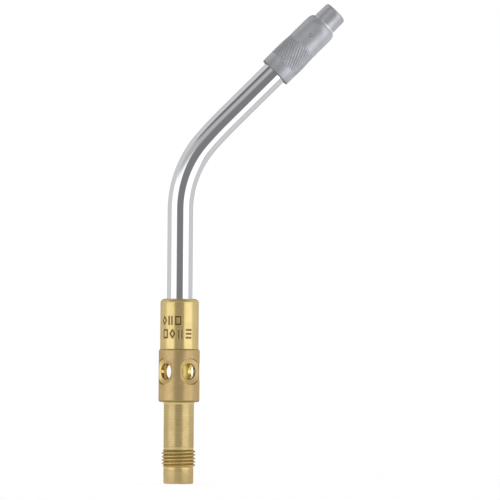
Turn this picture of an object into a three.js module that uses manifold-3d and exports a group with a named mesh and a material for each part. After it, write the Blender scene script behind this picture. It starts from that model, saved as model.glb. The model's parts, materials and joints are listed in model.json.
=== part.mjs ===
// Bent-neck air-fuel torch tip for small brazing and glass work.
// Units are millimetres and +Z is up. The origin is the centre of the inlet end face,
// the body stands along +Z, and the neck bends towards +X in the XZ plane.
// A screw-off tip (knurled sleeve, flame tube and swirl rotor) sits on the bent end.

import * as THREE from 'three';
import { mergeVertices } from 'three/addons/utils/BufferGeometryUtils.js';
import Module from 'manifold-3d';

const wasm = await Module();
wasm.setup();

// ---- driving dimensions -------------------------------------------------------------

const GAP = 0.3;
const EDGE = 0.4;
const CUT_MARGIN = 1.0;
const ROUND_SEGMENTS = 36;
const SMALL_SEGMENTS = 20;

// Inlet stem: a brass bar with a 1/2 inch, 20 threads per inch thread near its lower end.
const NOSE_RADIUS = 5.62;
const NOSE_EDGE = 0.6;
const STEM_RADIUS = 5.65;
const THREAD_START = 6.0;
const THREAD_END = 12.6;
const THREAD_PITCH = 1.27;
const THREAD_CREST_RADIUS = 6.35;
const THREAD_ROOT_RADIUS = 5.48;
const THREAD_STEPS_PER_TURN = 10;
const THREAD_SECTION_POINTS = 20;
const THREAD_ENVELOPE_MARGIN = 0.2;
const STEM_SHOULDER = 31.25;
const SPIGOT_RADIUS = 4.6;
const SPIGOT_TOP = 36.0;
const INLET_BORE_RADIUS = 3.3;
const INLET_BORE_DEPTH = 22.0;
const GAS_WAY_RADIUS = 1.6;
const JET_SOCKET_RADIUS = 2.9;
const JET_SOCKET_FLOOR = 27.0;

// Filter and its retaining ring, inside the inlet bore.
const CLIP_LOW = 12.8;
const CLIP_THICKNESS = 0.7;
const CLIP_GROOVE_RADIUS = 3.9;
const CLIP_INNER_RADIUS = 2.5;
const CLIP_OPENING = 0.5;
const FILTER_LOW = CLIP_LOW + CLIP_THICKNESS + 2 * GAP;
const FILTER_WALL = 0.8;
const FILTER_CHAMFER = 1.0;

// Jet: screws into the top of the stem and blows up the middle of the mixer.
const JET_TIP = 40.0;
const JET_ORIFICE_RADIUS = 0.3;
const JET_TIP_RADIUS = 1.1;
const JET_HEX_RADIUS = 3.5;
const JET_HEX_HEIGHT = 1.9;
const SEAL_LOW = JET_SOCKET_FLOOR + GAP;
const SEAL_THICKNESS = 0.6;

// Mixer barrel: four countersunk air ports lead into a chamber that is wider than its bore.
const BARREL_RADIUS = 7.7;
const BARREL_BORE_RADIUS = SPIGOT_RADIUS + GAP;
const BARREL_BOTTOM = 30.5;
const BARREL_BOTTOM_EDGE = 0.85;
const BARREL_COUNTERBORE_TOP = STEM_SHOULDER + GAP;
const CHAMBER_RADIUS = 5.7;
const CHAMBER_LOW = 36.9;
const CHAMBER_HIGH = 46.9;
const BARREL_SHOULDER = 49.95;
const BARREL_SPIGOT_RADIUS = 5.9;
const BARREL_SPIGOT_TOP = 55.7;
const PORT_RADIUS = 3.05;
const PORT_HEIGHT = 42.15;
const PORT_TURNS = [37.5, 114, 204, 309];
const COUNTERSINK_RADIUS = 4.9;
const COUNTERSINK_FLOOR = 6.15;
const COUNTERSINK_SLOPE = 3.5;
const BRAZE_GROOVE_RISE = 1.8;

// Venturi insert, between the ports and the neck tube.
const VENTURI_BOTTOM = 47.3;
const VENTURI_TOP = 56.0;
const VENTURI_LIP = 0.3;
const VENTURI_THROAT_LOW = 49.7;
const VENTURI_THROAT_HIGH = 50.7;
const VENTURI_THROAT_RADIUS = 2.4;
const VENTURI_OUTLET_RADIUS = 3.5;

// Ferrule that joins the barrel to the neck tube.
const FERRULE_RADIUS = 7.2;
const FERRULE_BOTTOM = BARREL_SHOULDER + GAP;
const FERRULE_BOTTOM_EDGE = 0.25;
const FERRULE_TOP = 69.5;
const FERRULE_FILLET = 1.65;
const FERRULE_SKIRT_RADIUS = BARREL_SPIGOT_RADIUS + GAP;
const FERRULE_SKIRT_TOP = 56.9;

// Silver braze rings: each lies in a groove between the two pieces that it joins.
const BRAZE_HEIGHT = 0.45;
const BRAZE_WIDTH = 0.5;

// Neck tube: 3/8 inch, with a bend of two radii that turns it by 45 degrees in all.
const TUBE_RADIUS = 4.765;
const TUBE_BORE_RADIUS = 3.55;
const TUBE_SOCKET_RADIUS = TUBE_RADIUS + GAP;
const TUBE_BOTTOM = FERRULE_SKIRT_TOP + GAP;
const TUBE_BRAZE_LOW = 62.0;
const NECK_CORNER = 119.9;
const NECK_ANGLE = THREE.MathUtils.degToRad(44.9);
const FIRST_BEND_RADIUS = 39.5;
const FIRST_BEND_ANGLE = THREE.MathUtils.degToRad(40.5);
const SECOND_BEND_RADIUS = 160.0;
const TUBE_STEPS = 32;
const TUBE_CURVE_SEGMENTS = 12;

// Screw-off tip. These are distances along the slanted axis from the neck's corner point.
const TUBE_END = 60.0;
const NIPPLE_SHOULDER = 61.0;
const NIPPLE_FRONT = 67.4;
const NIPPLE_RADIUS = 5.15;
const NIPPLE_EDGE = 0.3;
const NIPPLE_BORE_RADIUS = 2.5;
const NIPPLE_SPIGOT_RADIUS = TUBE_BORE_RADIUS - GAP;
const NIPPLE_SPIGOT_START = 54.0;
const SEAT_INNER_RADIUS = 2.6;
const SEAT_OUTER_RADIUS = 4.6;
const SEAT_THICKNESS = 0.6;
const SLEEVE_REAR = 49.85;
const SLEEVE_FRONT = 75.3;
const SLEEVE_REAR_RADIUS = 6.27;
const SLEEVE_FRONT_RADIUS = 6.1;
const SLEEVE_BORE_RADIUS = NIPPLE_RADIUS + GAP;
const SLEEVE_LIP_RADIUS = 5.0;
const FLAT_RIM = 0.05;
const SLEEVE_REAR_EDGE = 0.35;
const SLEEVE_NOSE_LENGTH = 2.7;
const KNURL_START = 54.0;
const KNURL_END = 64.8;
const KNURL_RADIUS = 6.38;
const KNURL_RUN_OUT = 0.2;
const SNAP_RING_START = 67.7;
const SNAP_RING_THICKNESS = 0.5;
const SNAP_RING_INNER_RADIUS = 4.95;
const SNAP_RING_OUTER_RADIUS = 5.65;
const SNAP_RING_OPENING = 0.35;
const SNAP_GROOVE_RADIUS = 5.85;
const FLAME_TUBE_REAR = 68.6;
const FLANGE_FRONT = 70.1;
const FLAME_TUBE_FRONT = 82.7;
const FLAME_TUBE_RADIUS = 4.72;
const FLAME_TUBE_FRONT_RADIUS = 4.62;
const FLAME_TUBE_BORE_RADIUS = 3.7;
const FLAME_TUBE_RIM = 1.0;
const FLAME_TUBE_LIP = 0.2;
const ROTOR_REAR = 70.6;
const ROTOR_SEAT_RADIUS = 2.7;
const ROTOR_LENGTH = 5.0;
const ROTOR_HUB_RADIUS = 1.4;
const ROTOR_VANES = 5;
const VANE_ROOT_SHARE = 0.24;
const VANE_TIP_SHARE = 0.12;
const ROTOR_TWIST = THREE.MathUtils.degToRad(75);
const ROTOR_CLIP_LOW = ROTOR_REAR + ROTOR_LENGTH + GAP;
const ROTOR_CLIP_THICKNESS = 0.6;
const ROTOR_CLIP_INNER_RADIUS = 2.9;
const ROTOR_CLIP_OPENING = 0.6;

// ---- materials ----------------------------------------------------------------------

const metal = (color, roughness) => new THREE.MeshStandardMaterial({ color, roughness, metalness: 1 });

const materials = {
  brightBrass: metal(0xe0bc7c, 0.22),
  satinBrass: metal(0xc9a874, 0.42),
  sinteredBronze: metal(0x9a7247, 0.85),
  copper: metal(0xb87333, 0.35),
  silverBraze: metal(0xc9c3b4, 0.4),
  chrome: metal(0xd8dade, 0.08),
  mattSteel: metal(0xa6a8ae, 0.5),
  springSteel: metal(0x70737a, 0.35),
};

// ---- geometry helpers ---------------------------------------------------------------

/** Turns a closed three.js geometry into a solid that can be joined and cut. */
function toSolid(geometry) {
  const bare = geometry.index ? geometry.clone() : geometry;
  bare.deleteAttribute('normal');
  bare.deleteAttribute('uv');
  const merged = mergeVertices(bare, 1e-4);
  return new wasm.Manifold(new wasm.Mesh({
    numProp: 3,
    vertProperties: new Float32Array(merged.attributes.position.array),
    triVerts: new Uint32Array(merged.index.array),
  }));
}

/** Turns a solid back into a three.js geometry. */
function toGeometry(solid) {
  const { vertProperties, triVerts } = solid.getMesh();
  const geometry = new THREE.BufferGeometry();
  geometry.setAttribute('position', new THREE.BufferAttribute(vertProperties, 3));
  geometry.setIndex(new THREE.BufferAttribute(triVerts, 1));
  geometry.computeVertexNormals();
  return geometry;
}

/** Points of a quarter-ellipse corner, from its first angle to its last, in [radius, height]. */
function corner(centreRadius, centreHeight, sizeRadius, sizeHeight, fromDegrees, toDegrees, steps = 4) {
  const points = [];
  for (let i = 0; i <= steps; i += 1) {
    const angle = THREE.MathUtils.degToRad(fromDegrees + ((toDegrees - fromDegrees) * i) / steps);
    points.push([
      centreRadius + sizeRadius * Math.cos(angle),
      centreHeight + sizeHeight * Math.sin(angle),
    ]);
  }
  return points;
}

/**
 * Revolves a profile of [radius, height] points about +Z. The profile runs anticlockwise,
 * up its outer wall and down its inner one, and is closed here if it is a ring.
 */
function revolve(profile, segments = ROUND_SEGMENTS) {
  const points = profile.map(([radius, height]) => new THREE.Vector2(radius, height));
  const onAxis = profile[0][0] === 0 && profile[profile.length - 1][0] === 0;
  if (!onAxis) points.push(points[0].clone());
  return new THREE.LatheGeometry(points, segments).rotateX(Math.PI / 2);
}

/** A plain ring of rectangular section. */
function ring(innerRadius, outerRadius, low, high, segments = SMALL_SEGMENTS) {
  return revolve([
    [innerRadius, low],
    [outerRadius, low],
    [outerRadius, high],
    [innerRadius, high],
  ], segments);
}

/** A flat spring ring with an opening, as a circlip has, lying from `low` upwards. */
function splitRing(innerRadius, outerRadius, low, thickness, opening) {
  const half = opening / 2;
  const shape = new THREE.Shape();
  shape.absarc(0, 0, outerRadius, half, 2 * Math.PI - half, false);
  shape.absarc(0, 0, innerRadius, 2 * Math.PI - half, half, true);
  const geometry = new THREE.ExtrudeGeometry(shape, {
    depth: thickness,
    bevelEnabled: false,
    curveSegments: SMALL_SEGMENTS,
  });
  return geometry.translate(0, 0, low);
}

/** Turns each layer of an upright extrusion about +Z, by `turnPerHeight` radians a millimetre. */
function twist(geometry, turnPerHeight) {
  const position = geometry.attributes.position;
  const point = new THREE.Vector3();
  const axis = new THREE.Vector3(0, 0, 1);
  for (let i = 0; i < position.count; i += 1) {
    point.fromBufferAttribute(position, i);
    point.applyAxisAngle(axis, point.z * turnPerHeight);
    position.setXYZ(i, point.x, point.y, point.z);
  }
  return geometry;
}

/** Names a geometry and gives it its material. */
function piece(name, geometry, material) {
  const mesh = new THREE.Mesh(geometry, material);
  mesh.name = name;
  return mesh;
}

// ---- inlet stem and what it holds ---------------------------------------------------

/**
 * Right-hand external thread, as the twisted extrusion of a cam-shaped section whose radius
 * rises from root to crest and back once around. Its ends are cut to 45 degree lead-ins.
 */
function externalThread() {
  const height = THREAD_END - THREAD_START;
  const outline = [];
  for (let i = 0; i < THREAD_SECTION_POINTS; i += 1) {
    const part = i / THREAD_SECTION_POINTS;
    const rise = THREE.MathUtils.clamp(1.2 - 2.8 * Math.abs(part - 0.5), 0, 1);
    const radius = THREAD_ROOT_RADIUS + (THREAD_CREST_RADIUS - THREAD_ROOT_RADIUS) * rise;
    const angle = 2 * Math.PI * part;
    outline.push(new THREE.Vector2(radius * Math.cos(angle), radius * Math.sin(angle)));
  }
  const bar = new THREE.ExtrudeGeometry(new THREE.Shape(outline), {
    depth: height,
    steps: Math.round((height / THREAD_PITCH) * THREAD_STEPS_PER_TURN),
    bevelEnabled: false,
  });
  twist(bar, (2 * Math.PI) / THREAD_PITCH);
  const outside = THREAD_CREST_RADIUS + THREAD_ENVELOPE_MARGIN;
  const leadIn = outside - THREAD_ROOT_RADIUS;
  const envelope = revolve([
    [0, 0],
    [THREAD_ROOT_RADIUS, 0],
    [outside, leadIn],
    [outside, height - leadIn],
    [THREAD_ROOT_RADIUS, height],
    [0, height],
  ]);
  const thread = toSolid(bar).intersect(toSolid(envelope));
  return thread.translate([0, 0, THREAD_START]);
}

function inletStem() {
  const coreRadius = THREAD_ROOT_RADIUS - GAP;
  const overlap = 0.05;
  const bar = revolve([
    [0, 0],
    ...corner(NOSE_RADIUS - NOSE_EDGE, NOSE_EDGE, NOSE_EDGE, NOSE_EDGE, -90, 0),
    [NOSE_RADIUS, THREAD_START + overlap],
    [coreRadius, THREAD_START + overlap],
    [coreRadius, THREAD_END - overlap],
    [STEM_RADIUS, THREAD_END - overlap],
    [STEM_RADIUS, STEM_SHOULDER],
    [SPIGOT_RADIUS, STEM_SHOULDER],
    [SPIGOT_RADIUS, SPIGOT_TOP],
    [0, SPIGOT_TOP],
  ]);
  const hollow = revolve([
    [0, -CUT_MARGIN],
    [INLET_BORE_RADIUS, -CUT_MARGIN],
    [INLET_BORE_RADIUS, CLIP_LOW - GAP],
    [CLIP_GROOVE_RADIUS, CLIP_LOW - GAP],
    [CLIP_GROOVE_RADIUS, CLIP_LOW + CLIP_THICKNESS + GAP],
    [INLET_BORE_RADIUS, CLIP_LOW + CLIP_THICKNESS + GAP],
    [INLET_BORE_RADIUS, INLET_BORE_DEPTH],
    [GAS_WAY_RADIUS, INLET_BORE_DEPTH + 1],
    [GAS_WAY_RADIUS, JET_SOCKET_FLOOR],
    [JET_SOCKET_RADIUS, JET_SOCKET_FLOOR],
    [JET_SOCKET_RADIUS, SPIGOT_TOP + CUT_MARGIN],
    [0, SPIGOT_TOP + CUT_MARGIN],
  ], SMALL_SEGMENTS);
  return toGeometry(toSolid(bar).add(externalThread()).subtract(toSolid(hollow)));
}

/** Thimble of sintered bronze, open towards the gas supply. */
function inletFilter() {
  const radius = INLET_BORE_RADIUS - GAP;
  const top = INLET_BORE_DEPTH - GAP;
  const bore = radius - FILTER_WALL;
  const boreTop = top - FILTER_WALL;
  return revolve([
    [bore, FILTER_LOW],
    [radius, FILTER_LOW],
    [radius, top - FILTER_CHAMFER],
    [radius - FILTER_CHAMFER, top],
    [0, top],
    [0, boreTop],
    [bore - EDGE, boreTop],
    [bore, boreTop - EDGE],
  ], SMALL_SEGMENTS);
}

/** Jet with a threaded shank, a hexagon to turn it by and a cone that ends in the orifice. */
function gasOrifice() {
  const shankRadius = JET_SOCKET_RADIUS - GAP;
  const shankBottom = SEAL_LOW + SEAL_THICKNESS + GAP;
  const hexBottom = SPIGOT_TOP + GAP;
  const hexTop = hexBottom + JET_HEX_HEIGHT;
  const turned = revolve([
    [0, shankBottom],
    [shankRadius, shankBottom],
    [shankRadius, hexTop],
    [JET_TIP_RADIUS, JET_TIP],
    [0, JET_TIP],
  ], SMALL_SEGMENTS);
  const hexagon = new THREE.CylinderGeometry(JET_HEX_RADIUS, JET_HEX_RADIUS, JET_HEX_HEIGHT, 6);
  hexagon.rotateX(Math.PI / 2).translate(0, 0, hexBottom + JET_HEX_HEIGHT / 2);
  const passage = revolve([
    [0, shankBottom - CUT_MARGIN],
    [GAS_WAY_RADIUS, shankBottom - CUT_MARGIN],
    [GAS_WAY_RADIUS, hexBottom],
    [JET_ORIFICE_RADIUS, hexTop],
    [JET_ORIFICE_RADIUS, JET_TIP + CUT_MARGIN],
    [0, JET_TIP + CUT_MARGIN],
  ], SMALL_SEGMENTS);
  return toGeometry(toSolid(turned).add(toSolid(hexagon)).subtract(toSolid(passage)));
}

// ---- mixer --------------------------------------------------------------------------

/** Cutter for one air port, `turn` degrees round from -Y: a drill with a countersink. */
function portCutter(turn) {
  const reach = BARREL_RADIUS + CUT_MARGIN;
  const sinkDepth = reach - COUNTERSINK_FLOOR;
  const drill = new THREE.CylinderGeometry(PORT_RADIUS, PORT_RADIUS, reach, SMALL_SEGMENTS);
  drill.translate(0, reach / 2, 0);
  const sinkMouth = PORT_RADIUS + sinkDepth * COUNTERSINK_SLOPE;
  const sink = new THREE.CylinderGeometry(sinkMouth, PORT_RADIUS, sinkDepth, SMALL_SEGMENTS);
  sink.translate(0, COUNTERSINK_FLOOR + sinkDepth / 2, 0);
  const limit = new THREE.CylinderGeometry(COUNTERSINK_RADIUS, COUNTERSINK_RADIUS, reach, SMALL_SEGMENTS);
  limit.translate(0, reach / 2, 0);
  const cutter = toSolid(drill).add(toSolid(sink).intersect(toSolid(limit)));
  return cutter.rotate([0, 0, 180 + turn]).translate([0, 0, PORT_HEIGHT]);
}

function mixerBarrel() {
  const grooveRadius = BARREL_BORE_RADIUS + BRAZE_WIDTH + GAP;
  const grooveLow = BARREL_BOTTOM + BRAZE_GROOVE_RISE;
  const grooveHigh = grooveLow + BRAZE_HEIGHT + 2 * GAP;
  const edge = BARREL_BOTTOM_EDGE;
  let barrel = toSolid(revolve([
    [STEM_RADIUS + GAP, BARREL_BOTTOM],
    ...corner(BARREL_RADIUS - edge, BARREL_BOTTOM + edge, edge, edge, -90, 0),
    ...corner(BARREL_RADIUS - EDGE, BARREL_SHOULDER - EDGE, EDGE, EDGE, 0, 90, 3),
    [BARREL_SPIGOT_RADIUS, BARREL_SHOULDER],
    [BARREL_SPIGOT_RADIUS, BARREL_SPIGOT_TOP],
    [BARREL_BORE_RADIUS, BARREL_SPIGOT_TOP],
    [BARREL_BORE_RADIUS, CHAMBER_HIGH],
    [CHAMBER_RADIUS, CHAMBER_HIGH],
    [CHAMBER_RADIUS, CHAMBER_LOW],
    [BARREL_BORE_RADIUS, CHAMBER_LOW],
    [BARREL_BORE_RADIUS, grooveHigh],
    [grooveRadius, grooveHigh],
    [grooveRadius, grooveLow],
    [BARREL_BORE_RADIUS, grooveLow],
    [BARREL_BORE_RADIUS, BARREL_COUNTERBORE_TOP],
    [STEM_RADIUS + GAP, BARREL_COUNTERBORE_TOP],
  ]));
  for (const turn of PORT_TURNS) {
    barrel = barrel.subtract(portCutter(turn));
  }
  return toGeometry(barrel);
}

function stemBrazeRing() {
  const low = BARREL_BOTTOM + BRAZE_GROOVE_RISE + GAP;
  return ring(BARREL_BORE_RADIUS, BARREL_BORE_RADIUS + BRAZE_WIDTH, low, low + BRAZE_HEIGHT);
}

/** Insert whose bore narrows to a throat and opens again, to draw air in through the ports. */
function venturiInsert() {
  const outer = BARREL_BORE_RADIUS - GAP;
  return revolve([
    [outer - VENTURI_LIP, VENTURI_BOTTOM],
    [outer, VENTURI_BOTTOM],
    [outer, VENTURI_TOP],
    [VENTURI_OUTLET_RADIUS, VENTURI_TOP],
    [VENTURI_THROAT_RADIUS, VENTURI_THROAT_HIGH],
    [VENTURI_THROAT_RADIUS, VENTURI_THROAT_LOW],
  ], SMALL_SEGMENTS);
}

// ---- ferrule and neck ---------------------------------------------------------------

function neckFerrule() {
  const edge = FERRULE_BOTTOM_EDGE;
  const fillet = FERRULE_FILLET;
  const grooveRadius = TUBE_SOCKET_RADIUS + BRAZE_WIDTH + GAP;
  const grooveHigh = TUBE_BRAZE_LOW + BRAZE_HEIGHT + 2 * GAP;
  return revolve([
    [FERRULE_SKIRT_RADIUS, FERRULE_BOTTOM],
    ...corner(FERRULE_RADIUS - edge, FERRULE_BOTTOM + edge, edge, edge, -90, 0, 2),
    ...corner(FERRULE_RADIUS - fillet, FERRULE_TOP - fillet, fillet, fillet, 0, 90, 6),
    [TUBE_SOCKET_RADIUS, FERRULE_TOP],
    [TUBE_SOCKET_RADIUS, grooveHigh],
    [grooveRadius, grooveHigh],
    [grooveRadius, TUBE_BRAZE_LOW],
    [TUBE_SOCKET_RADIUS, TUBE_BRAZE_LOW],
    [TUBE_SOCKET_RADIUS, FERRULE_SKIRT_TOP],
    [FERRULE_SKIRT_RADIUS, FERRULE_SKIRT_TOP],
  ]);
}

function ferruleBrazeRing() {
  const low = BARREL_SPIGOT_TOP + GAP;
  const outer = BARREL_SPIGOT_RADIUS;
  return ring(outer - BRAZE_WIDTH - GAP, outer, low, low + BRAZE_HEIGHT);
}

function tubeBrazeRing() {
  const low = TUBE_BRAZE_LOW + GAP;
  return ring(TUBE_SOCKET_RADIUS, TUBE_SOCKET_RADIUS + BRAZE_WIDTH, low, low + BRAZE_HEIGHT);
}

/** Point of the neck's plane, as three.js wants it. */
const inPlane = (x, z) => new THREE.Vector3(x, 0, z);

/** An arc of the bend in the XZ plane, from one slant to the next, both from the vertical. */
class BendArc extends THREE.Curve {
  constructor(start, radius, fromAngle, toAngle) {
    super();
    this.start = start;
    this.radius = radius;
    this.fromAngle = fromAngle;
    this.toAngle = toAngle;
  }

  getPoint(part, target = new THREE.Vector3()) {
    const angle = this.fromAngle + (this.toAngle - this.fromAngle) * part;
    const x = this.radius * (Math.cos(this.fromAngle) - Math.cos(angle));
    const z = this.radius * (Math.sin(angle) - Math.sin(this.fromAngle));
    return target.set(this.start.x + x, 0, this.start.z + z);
  }
}

/** Centre line of the neck: straight up, a tight arc, a wider arc, and straight along the slant. */
function neckPath() {
  const bendAt = (start) => {
    const first = new BendArc(start, FIRST_BEND_RADIUS, 0, FIRST_BEND_ANGLE);
    const second = new BendArc(first.getPoint(1), SECOND_BEND_RADIUS, FIRST_BEND_ANGLE, NECK_ANGLE);
    return { first, second };
  };
  const slope = 1 / Math.tan(NECK_ANGLE);
  const trialEnd = bendAt(inPlane(0, 0)).second.getPoint(1);
  const bendStart = inPlane(0, NECK_CORNER + trialEnd.x * slope - trialEnd.z);
  const { first, second } = bendAt(bendStart);
  const end = inPlane(TUBE_END * Math.sin(NECK_ANGLE), NECK_CORNER + TUBE_END * Math.cos(NECK_ANGLE));
  const path = new THREE.CurvePath();
  path.add(new THREE.LineCurve3(inPlane(0, TUBE_BOTTOM), bendStart));
  path.add(first);
  path.add(second);
  path.add(new THREE.LineCurve3(second.getPoint(1), end));
  return path;
}

function neckTube() {
  const section = new THREE.Shape();
  section.absarc(0, 0, TUBE_RADIUS, 0, 2 * Math.PI, false);
  const bore = new THREE.Path();
  bore.absarc(0, 0, TUBE_BORE_RADIUS, 0, 2 * Math.PI, true);
  section.holes.push(bore);
  return new THREE.ExtrudeGeometry(section, {
    steps: TUBE_STEPS,
    curveSegments: TUBE_CURVE_SEGMENTS,
    extrudePath: neckPath(),
  });
}

// ---- screw-off tip, along the slanted axis ------------------------------------------

/** Nipple brazed into the end of the tube; the knurled sleeve screws onto it. */
function tipNipple() {
  return revolve([
    [NIPPLE_BORE_RADIUS, NIPPLE_SPIGOT_START],
    [NIPPLE_SPIGOT_RADIUS, NIPPLE_SPIGOT_START],
    [NIPPLE_SPIGOT_RADIUS, NIPPLE_SHOULDER],
    [NIPPLE_RADIUS - NIPPLE_EDGE, NIPPLE_SHOULDER],
    [NIPPLE_RADIUS, NIPPLE_SHOULDER + NIPPLE_EDGE],
    [NIPPLE_RADIUS, NIPPLE_FRONT - NIPPLE_EDGE],
    [NIPPLE_RADIUS - NIPPLE_EDGE, NIPPLE_FRONT],
    [NIPPLE_BORE_RADIUS, NIPPLE_FRONT],
  ]);
}

function nippleBrazeRing() {
  return ring(TUBE_BORE_RADIUS, TUBE_RADIUS, TUBE_END + GAP, NIPPLE_SHOULDER - GAP);
}

function seatWasher() {
  const low = NIPPLE_FRONT + GAP;
  return ring(SEAT_INNER_RADIUS, SEAT_OUTER_RADIUS, low, low + SEAT_THICKNESS);
}

function knurledSleeve() {
  const edge = SLEEVE_REAR_EDGE;
  const grooveLow = SNAP_RING_START - GAP;
  const grooveHigh = SNAP_RING_START + SNAP_RING_THICKNESS + GAP;
  const mouth = SLEEVE_LIP_RADIUS + FLAT_RIM;
  const noseStart = SLEEVE_FRONT - SLEEVE_NOSE_LENGTH;
  return revolve([
    [SLEEVE_BORE_RADIUS, SLEEVE_REAR],
    ...corner(SLEEVE_REAR_RADIUS - edge, SLEEVE_REAR + edge, edge, edge, -90, 0, 3),
    [SLEEVE_REAR_RADIUS, KNURL_START],
    [KNURL_RADIUS, KNURL_START + KNURL_RUN_OUT],
    [KNURL_RADIUS, KNURL_END - KNURL_RUN_OUT],
    [SLEEVE_FRONT_RADIUS, KNURL_END],
    ...corner(mouth, noseStart, SLEEVE_FRONT_RADIUS - mouth, SLEEVE_NOSE_LENGTH, 0, 90, 6),
    [SLEEVE_LIP_RADIUS, SLEEVE_FRONT],
    [SLEEVE_LIP_RADIUS, FLANGE_FRONT + GAP],
    [SLEEVE_BORE_RADIUS, FLANGE_FRONT + GAP],
    [SLEEVE_BORE_RADIUS, grooveHigh],
    [SNAP_GROOVE_RADIUS, grooveHigh],
    [SNAP_GROOVE_RADIUS, grooveLow],
    [SLEEVE_BORE_RADIUS, grooveLow],
  ]);
}

function flameTube() {
  const rim = FLAME_TUBE_RIM;
  const front = FLAME_TUBE_FRONT_RADIUS;
  const mouth = front - rim + FLAME_TUBE_LIP;
  return revolve([
    [ROTOR_SEAT_RADIUS, FLAME_TUBE_REAR],
    [NIPPLE_RADIUS, FLAME_TUBE_REAR],
    [NIPPLE_RADIUS, FLANGE_FRONT],
    [FLAME_TUBE_RADIUS, FLANGE_FRONT],
    ...corner(mouth, FLAME_TUBE_FRONT - rim, front - mouth, rim, 0, 90),
    [FLAME_TUBE_BORE_RADIUS + FLAT_RIM, FLAME_TUBE_FRONT - FLAT_RIM],
    [FLAME_TUBE_BORE_RADIUS, FLAME_TUBE_FRONT - FLAME_TUBE_LIP],
    [FLAME_TUBE_BORE_RADIUS, ROTOR_REAR - GAP],
    [ROTOR_SEAT_RADIUS, ROTOR_REAR - GAP],
  ]);
}

/** Hub with slanted vanes that swirl the gas on its way to the flame. */
function swirlRotor() {
  const outer = FLAME_TUBE_BORE_RADIUS - GAP;
  const shape = new THREE.Shape();
  const pitch = (2 * Math.PI) / ROTOR_VANES;
  const hubHalf = pitch * VANE_ROOT_SHARE;
  const tipHalf = pitch * VANE_TIP_SHARE;
  for (let vane = 0; vane < ROTOR_VANES; vane += 1) {
    const middle = vane * pitch;
    shape.absarc(0, 0, outer, middle - tipHalf, middle + tipHalf, false);
    shape.absarc(0, 0, ROTOR_HUB_RADIUS, middle + hubHalf, middle + pitch - hubHalf, false);
  }
  const geometry = new THREE.ExtrudeGeometry(shape, {
    depth: ROTOR_LENGTH,
    steps: 6,
    curveSegments: 2,
    bevelEnabled: false,
  });
  return twist(geometry, ROTOR_TWIST / ROTOR_LENGTH).translate(0, 0, ROTOR_REAR);
}

// ---- assembly -----------------------------------------------------------------------

const body = new THREE.Group();
body.add(
  piece('inlet_stem', inletStem(), materials.brightBrass),
  piece(
    'filter_clip',
    splitRing(CLIP_INNER_RADIUS, CLIP_GROOVE_RADIUS - GAP, CLIP_LOW, CLIP_THICKNESS, CLIP_OPENING),
    materials.springSteel,
  ),
  piece('inlet_filter', inletFilter(), materials.sinteredBronze),
  piece(
    'jet_seal',
    ring(GAS_WAY_RADIUS, JET_SOCKET_RADIUS - GAP, SEAL_LOW, SEAL_LOW + SEAL_THICKNESS),
    materials.copper,
  ),
  piece('gas_jet', gasOrifice(), materials.brightBrass),
  piece('stem_braze_ring', stemBrazeRing(), materials.silverBraze),
  piece('mixer_barrel', mixerBarrel(), materials.satinBrass),
  piece('venturi_insert', venturiInsert(), materials.brightBrass),
  piece('ferrule_braze_ring', ferruleBrazeRing(), materials.silverBraze),
  piece('neck_ferrule', neckFerrule(), materials.brightBrass),
  piece('tube_braze_ring', tubeBrazeRing(), materials.silverBraze),
  piece('neck_tube', neckTube(), materials.chrome),
);

const tip = new THREE.Group();
tip.position.set(0, 0, NECK_CORNER);
tip.rotation.y = NECK_ANGLE;
tip.add(
  piece('nipple_braze_ring', nippleBrazeRing(), materials.silverBraze),
  piece('tip_nipple', tipNipple(), materials.brightBrass),
  piece('seat_washer', seatWasher(), materials.copper),
  piece('knurled_sleeve', knurledSleeve(), materials.mattSteel),
  piece(
    'sleeve_snap_ring',
    splitRing(
      SNAP_RING_INNER_RADIUS,
      SNAP_RING_OUTER_RADIUS,
      SNAP_RING_START,
      SNAP_RING_THICKNESS,
      SNAP_RING_OPENING,
    ),
    materials.springSteel,
  ),
  piece('flame_tube', flameTube(), materials.mattSteel),
  piece('swirl_rotor', swirlRotor(), materials.brightBrass),
  piece(
    'rotor_clip',
    splitRing(
      ROTOR_CLIP_INNER_RADIUS,
      FLAME_TUBE_BORE_RADIUS - GAP,
      ROTOR_CLIP_LOW,
      ROTOR_CLIP_THICKNESS,
      ROTOR_CLIP_OPENING,
    ),
    materials.springSteel,
  ),
);

const torchTip = new THREE.Group();
torchTip.add(body, tip);

export default torchTip;
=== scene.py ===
import json
import math

import bpy
import numpy as np
from mathutils import Matrix, Vector

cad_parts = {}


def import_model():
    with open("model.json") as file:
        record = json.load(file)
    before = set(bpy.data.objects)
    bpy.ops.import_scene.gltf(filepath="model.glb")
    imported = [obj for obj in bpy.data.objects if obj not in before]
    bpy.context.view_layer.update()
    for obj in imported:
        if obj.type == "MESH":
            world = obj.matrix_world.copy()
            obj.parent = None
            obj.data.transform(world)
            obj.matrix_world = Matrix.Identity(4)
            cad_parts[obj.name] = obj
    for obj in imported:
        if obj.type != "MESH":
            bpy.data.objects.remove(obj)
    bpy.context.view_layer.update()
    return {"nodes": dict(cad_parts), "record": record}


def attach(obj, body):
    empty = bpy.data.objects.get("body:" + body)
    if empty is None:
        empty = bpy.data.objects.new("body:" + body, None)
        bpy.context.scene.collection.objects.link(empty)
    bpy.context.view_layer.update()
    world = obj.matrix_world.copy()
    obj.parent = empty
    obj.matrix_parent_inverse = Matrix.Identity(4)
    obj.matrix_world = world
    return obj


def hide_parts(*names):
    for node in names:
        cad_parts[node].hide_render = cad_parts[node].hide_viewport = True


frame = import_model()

MM = 0.001
TAU = 2 * math.pi


# ---- places taken from the frame ---------

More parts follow.
